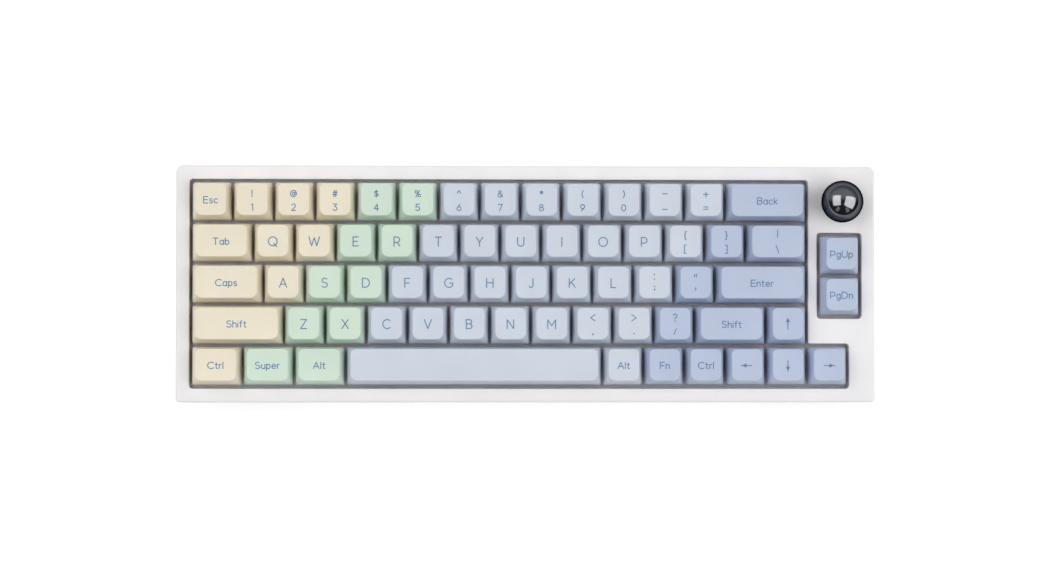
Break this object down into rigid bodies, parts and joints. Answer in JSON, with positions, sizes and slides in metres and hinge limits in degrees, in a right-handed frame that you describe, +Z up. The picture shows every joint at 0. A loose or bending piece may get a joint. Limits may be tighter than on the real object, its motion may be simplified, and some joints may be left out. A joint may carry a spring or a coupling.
{
  "type": "mechanical keyboard",
  "caption": "Compact wedge-cased mechanical keyboard with sprung sculpted keys, a push-and-turn ball knob, flip-out feet and a USB-C socket.",
  "frame": {"origin": "on the desk, under the middle of the keyboard's bounding box", "axes": "+X to the right-hand side as the typist sees it, +Y to the rear edge, +Z up"},
  "size_m": [0.325, 0.1126, 0.0501],
  "materials": {
    "case_plastic": "fine matte, warm white",
    "plate_plastic": "satin, off-white",
    "board": "dark lacquered laminate",
    "bright_steel": "satin steel",
    "black_plastic": "matte black",
    "knob_metal": "polished, anodised near black",
    "foot_rubber": "matte black",
    "cap_cream": "finely grained, cream",
    "cap_mint": "finely grained, pale mint",
    "cap_pale": "finely grained, pale periwinkle",
    "cap_blue": "finely grained, periwinkle blue"
  },
  "bodies": {
    "case": {"upper_case": "case_plastic", "lower_case": "case_plastic", "switch_plate": "plate_plastic", "circuit_board": "board", "usb_c_socket": "bright_steel", "encoder_body": "bright_steel", "rubber_foot_front_left": "foot_rubber", "rubber_foot_front_right": "foot_rubber", "rubber_foot_rear_left": "foot_rubber", "rubber_foot_rear_right": "foot_rubber"},
    "rotor": {"encoder_rotor": "black_plastic"},
    "knob": {"encoder_shaft": "bright_steel", "knob": "knob_metal"},
    "flip_foot_left": {"flip_foot_left": "case_plastic"},
    "flip_foot_right": {"flip_foot_right": "case_plastic"},
    "key_esc": {"key_esc": "cap_cream"},
    "keys_number_row": {"keys_number_row": "cap_pale"},
    "key_back": {"key_back": "cap_blue"},
    "key_tab": {"key_tab": "cap_cream"},
    "key_q": {"key_q": "cap_cream"},
    "key_w": {"key_w": "cap_cream"},
    "key_e": {"key_e": "cap_mint"},
    "key_r": {"key_r": "cap_mint"},
    "key_t": {"key_t": "cap_pale"},
    "key_y": {"key_y": "cap_pale"},
    "key_u": {"key_u": "cap_pale"},
    "key_i": {"key_i": "cap_pale"},
    "key_o": {"key_o": "cap_pale"},
    "key_p": {"key_p": "cap_pale"},
    "keys_brackets": {"keys_brackets": "cap_blue"},
    "key_caps": {"key_caps": "cap_cream"},
    "key_a": {"key_a": "cap_cream"},
    "key_s": {"key_s": "cap_mint"},
    "key_d": {"key_d": "cap_mint"},
    "key_f": {"key_f": "cap_pale"},
    "key_g": {"key_g": "cap_pale"},
    "key_h": {"key_h": "cap_pale"},
    "key_j": {"key_j": "cap_pale"},
    "key_k": {"key_k": "cap_pale"},
    "key_l": {"key_l": "cap_pale"},
    "keys_semicolon_quote": {"keys_semicolon_quote": "cap_blue"},
    "key_enter": {"key_enter": "cap_blue"},
    "key_shift_left": {"key_shift_left": "cap_cream"},
    "key_z": {"key_z": "cap_mint"},
    "key_x": {"key_x": "cap_mint"},
    "key_c": {"key_c": "cap_pale"},
    "key_v": {"key_v": "cap_pale"},
    "key_b": {"key_b": "cap_pale"},
    "key_n": {"key_n": "cap_pale"},
    "key_m": {"key_m": "cap_pale"},
    "keys_comma_to_slash": {"keys_comma_to_slash": "cap_pale"},
    "key_shift_right": {"key_shift_right": "cap_blue"},
    "key_arrow_up": {"key_arrow_up": "cap_blue"},
    "keys_left_modifiers": {"keys_left_modifiers": "cap_mint"},
    "key_space": {"key_space": "cap_pale"},
    "keys_right_modifiers": {"keys_right_modifiers": "cap_blue"},
    "key_arrow_left": {"key_arrow_left": "cap_blue"},
    "key_arrow_down": {"key_arrow_down": "cap_blue"},
    "key_arrow_right": {"key_arrow_right": "cap_blue"},
    "keys_page": {"keys_page": "cap_blue"}
  },
  "joints": [
    {"name": "knob_turn", "type": "hinge", "parent": "case", "child": "rotor", "pos_m": [0.14586, 0.03715, 0.02227], "axis": [0, -0.1045, 0.9945], "continuous": true},
    {"name": "knob_push", "type": "slide", "parent": "rotor", "child": "knob", "axis": [0, 0.1045, -0.9945], "range_m": [0, 0.0005], "stiffness_N_per_m": 1500, "springref_m": -0.001},
    {"name": "left_foot_fold", "type": "hinge", "parent": "case", "child": "flip_foot_left", "pos_m": [-0.125, 0.04027, 0.0042], "axis": [1, 0, 0], "range_deg": [0, 100]},
    {"name": "right_foot_fold", "type": "hinge", "parent": "case", "child": "flip_foot_right", "pos_m": [0.125, 0.04027, 0.0042], "axis": [1, 0, 0], "range_deg": [0, 100]},
    {"name": "press_esc", "type": "slide", "parent": "case", "child": "key_esc", "axis": [0, 0.1045, -0.9945], "range_m": [0, 0.004], "stiffness_N_per_m": 75, "springref_m": -0.004},
    {"name": "press_number_row", "type": "slide", "parent": "case", "child": "keys_number_row", "axis": [0, 0.1045, -0.9945], "range_m": [0, 0.004], "stiffness_N_per_m": 900, "springref_m": -0.004},
    {"name": "press_back", "type": "slide", "parent": "case", "child": "key_back", "axis": [0, 0.1045, -0.9945], "range_m": [0, 0.004], "stiffness_N_per_m": 75, "springref_m": -0.004},
    {"name": "press_tab", "type": "slide", "parent": "case", "child": "key_tab", "axis": [0, 0.1045, -0.9945], "range_m": [0, 0.004], "stiffness_N_per_m": 75, "springref_m": -0.004},
    {"name": "press_q", "type": "slide", "parent": "case", "child": "key_q", "axis": [0, 0.1045, -0.9945], "range_m": [0, 0.004], "stiffness_N_per_m": 75, "springref_m": -0.004},
    {"name": "press_w", "type": "slide", "parent": "case", "child": "key_w", "axis": [0, 0.1045, -0.9945], "range_m": [0, 0.004], "stiffness_N_per_m": 75, "springref_m": -0.004},
    {"name": "press_e", "type": "slide", "parent": "case", "child": "key_e", "axis": [0, 0.1045, -0.9945], "range_m": [0, 0.004], "stiffness_N_per_m": 75, "springref_m": -0.004},
    {"name": "press_r", "type": "slide", "parent": "case", "child": "key_r", "axis": [0, 0.1045, -0.9945], "range_m": [0, 0.004], "stiffness_N_per_m": 75, "springref_m": -0.004},
    {"name": "press_t", "type": "slide", "parent": "case", "child": "key_t", "axis": [0, 0.1045, -0.9945], "range_m": [0, 0.004], "stiffness_N_per_m": 75, "springref_m": -0.004},
    {"name": "press_y", "type": "slide", "parent": "case", "child": "key_y", "axis": [0, 0.1045, -0.9945], "range_m": [0, 0.004], "stiffness_N_per_m": 75, "springref_m": -0.004},
    {"name": "press_u", "type": "slide", "parent": "case", "child": "key_u", "axis": [0, 0.1045, -0.9945], "range_m": [0, 0.004], "stiffness_N_per_m": 75, "springref_m": -0.004},
    {"name": "press_i", "type": "slide", "parent": "case", "child": "key_i", "axis": [0, 0.1045, -0.9945], "range_m": [0, 0.004], "stiffness_N_per_m": 75, "springref_m": -0.004},
    {"name": "press_o", "type": "slide", "parent": "case", "child": "key_o", "axis": [0, 0.1045, -0.9945], "range_m": [0, 0.004], "stiffness_N_per_m": 75, "springref_m": -0.004},
    {"name": "press_p", "type": "slide", "parent": "case", "child": "key_p", "axis": [0, 0.1045, -0.9945], "range_m": [0, 0.004], "stiffness_N_per_m": 75, "springref_m": -0.004},
    {"name": "press_brackets", "type": "slide", "parent": "case", "child": "keys_brackets", "axis": [0, 0.1045, -0.9945], "range_m": [0, 0.004], "stiffness_N_per_m": 225, "springref_m": -0.004},
    {"name": "press_caps", "type": "slide", "parent": "case", "child": "key_caps", "axis": [0, 0.1045, -0.9945], "range_m": [0, 0.004], "stiffness_N_per_m": 75, "springref_m": -0.004},
    {"name": "press_a", "type": "slide", "parent": "case", "child": "key_a", "axis": [0, 0.1045, -0.9945], "range_m": [0, 0.004], "stiffness_N_per_m": 75, "springref_m": -0.004},
    {"name": "press_s", "type": "slide", "parent": "case", "child": "key_s", "axis": [0, 0.1045, -0.9945], "range_m": [0, 0.004], "stiffness_N_per_m": 75, "springref_m": -0.004},
    {"name": "press_d", "type": "slide", "parent": "case", "child": "key_d", "axis": [0, 0.1045, -0.9945], "range_m": [0, 0.004], "stiffness_N_per_m": 75, "springref_m": -0.004},
    {"name": "press_f", "type": "slide", "parent": "case", "child": "key_f", "axis": [0, 0.1045, -0.9945], "range_m": [0, 0.004], "stiffness_N_per_m": 75, "springref_m": -0.004},
    {"name": "press_g", "type": "slide", "parent": "case", "child": "key_g", "axis": [0, 0.1045, -0.9945], "range_m": [0, 0.004], "stiffness_N_per_m": 75, "springref_m": -0.004},
    {"name": "press_h", "type": "slide", "parent": "case", "child": "key_h", "axis": [0, 0.1045, -0.9945], "range_m": [0, 0.004], "stiffness_N_per_m": 75, "springref_m": -0.004},
    {"name": "press_j", "type": "slide", "parent": "case", "child": "key_j", "axis": [0, 0.1045, -0.9945], "range_m": [0, 0.004], "stiffness_N_per_m": 75, "springref_m": -0.004},
    {"name": "press_k", "type": "slide", "parent": "case", "child": "key_k", "axis": [0, 0.1045, -0.9945], "range_m": [0, 0.004], "stiffness_N_per_m": 75, "springref_m": -0.004},
    {"name": "press_l", "type": "slide", "parent": "case", "child": "key_l", "axis": [0, 0.1045, -0.9945], "range_m": [0, 0.004], "stiffness_N_per_m": 75, "springref_m": -0.004},
    {"name": "press_semicolon_quote", "type": "slide", "parent": "case", "child": "keys_semicolon_quote", "axis": [0, 0.1045, -0.9945], "range_m": [0, 0.004], "stiffness_N_per_m": 150, "springref_m": -0.004},
    {"name": "press_enter", "type": "slide", "parent": "case", "child": "key_enter", "axis": [0, 0.1045, -0.9945], "range_m": [0, 0.004], "stiffness_N_per_m": 75, "springref_m": -0.004},
    {"name": "press_shift_left", "type": "slide", "parent": "case", "child": "key_shift_left", "axis": [0, 0.1045, -0.9945], "range_m": [0, 0.004], "stiffness_N_per_m": 75, "springref_m": -0.004},
    {"name": "press_z", "type": "slide", "parent": "case", "child": "key_z", "axis": [0, 0.1045, -0.9945], "range_m": [0, 0.004], "stiffness_N_per_m": 75, "springref_m": -0.004},
    {"name": "press_x", "type": "slide", "parent": "case", "child": "key_x", "axis": [0, 0.1045, -0.9945], "range_m": [0, 0.004], "stiffness_N_per_m": 75, "springref_m": -0.004},
    {"name": "press_c", "type": "slide", "parent": "case", "child": "key_c", "axis": [0, 0.1045, -0.9945], "range_m": [0, 0.004], "stiffness_N_per_m": 75, "springref_m": -0.004},
    {"name": "press_v", "type": "slide", "parent": "case", "child": "key_v", "axis": [0, 0.1045, -0.9945], "range_m": [0, 0.004], "stiffness_N_per_m": 75, "springref_m": -0.004},
    {"name": "press_b", "type": "slide", "parent": "case", "child": "key_b", "axis": [0, 0.1045, -0.9945], "range_m": [0, 0.004], "stiffness_N_per_m": 75, "springref_m": -0.004},
    {"name": "press_n", "type": "slide", "parent": "case", "child": "key_n", "axis": [0, 0.1045, -0.9945], "range_m": [0, 0.004], "stiffness_N_per_m": 75, "springref_m": -0.004},
    {"name": "press_m", "type": "slide", "parent": "case", "child": "key_m", "axis": [0, 0.1045, -0.9945], "range_m": [0, 0.004], "stiffness_N_per_m": 75, "springref_m": -0.004},
    {"name": "press_comma_to_slash", "type": "slide", "parent": "case", "child": "keys_comma_to_slash", "axis": [0, 0.1045, -0.9945], "range_m": [0, 0.004], "stiffness_N_per_m": 225, "springref_m": -0.004},
    {"name": "press_shift_right", "type": "slide", "parent": "case", "child": "key_shift_right", "axis": [0, 0.1045, -0.9945], "range_m": [0, 0.004], "stiffness_N_per_m": 75, "springref_m": -0.004},
    {"name": "press_arrow_up", "type": "slide", "parent": "case", "child": "key_arrow_up", "axis": [0, 0.1045, -0.9945], "range_m": [0, 0.004], "stiffness_N_per_m": 75, "springref_m": -0.004},
    {"name": "press_left_modifiers", "type": "slide", "parent": "case", "child": "keys_left_modifiers", "axis": [0, 0.1045, -0.9945], "range_m": [0, 0.004], "stiffness_N_per_m": 225, "springref_m": -0.004},
    {"name": "press_space", "type": "slide", "parent": "case", "child": "key_space", "axis": [0, 0.1045, -0.9945], "range_m": [0, 0.004], "stiffness_N_per_m": 75, "springref_m": -0.006},
    {"name": "press_right_modifiers", "type": "slide", "parent": "case", "child": "keys_right_modifiers", "axis": [0, 0.1045, -0.9945], "range_m": [0, 0.004], "stiffness_N_per_m": 225, "springref_m": -0.004},
    {"name": "press_arrow_left", "type": "slide", "parent": "case", "child": "key_arrow_left", "axis": [0, 0.1045, -0.9945], "range_m": [0, 0.004], "stiffness_N_per_m": 75, "springref_m": -0.004},
    {"name": "press_arrow_down", "type": "slide", "parent": "case", "child": "key_arrow_down", "axis": [0, 0.1045, -0.9945], "range_m": [0, 0.004], "stiffness_N_per_m": 75, "springref_m": -0.004},
    {"name": "press_arrow_right", "type": "slide", "parent": "case", "child": "key_arrow_right", "axis": [0, 0.1045, -0.9945], "range_m": [0, 0.004], "stiffness_N_per_m": 75, "springref_m": -0.004},
    {"name": "press_page_keys", "type": "slide", "parent": "case", "child": "keys_page", "axis": [0, 0.1045, -0.9945], "range_m": [0, 0.004], "stiffness_N_per_m": 150, "springref_m": -0.004}
  ]
}
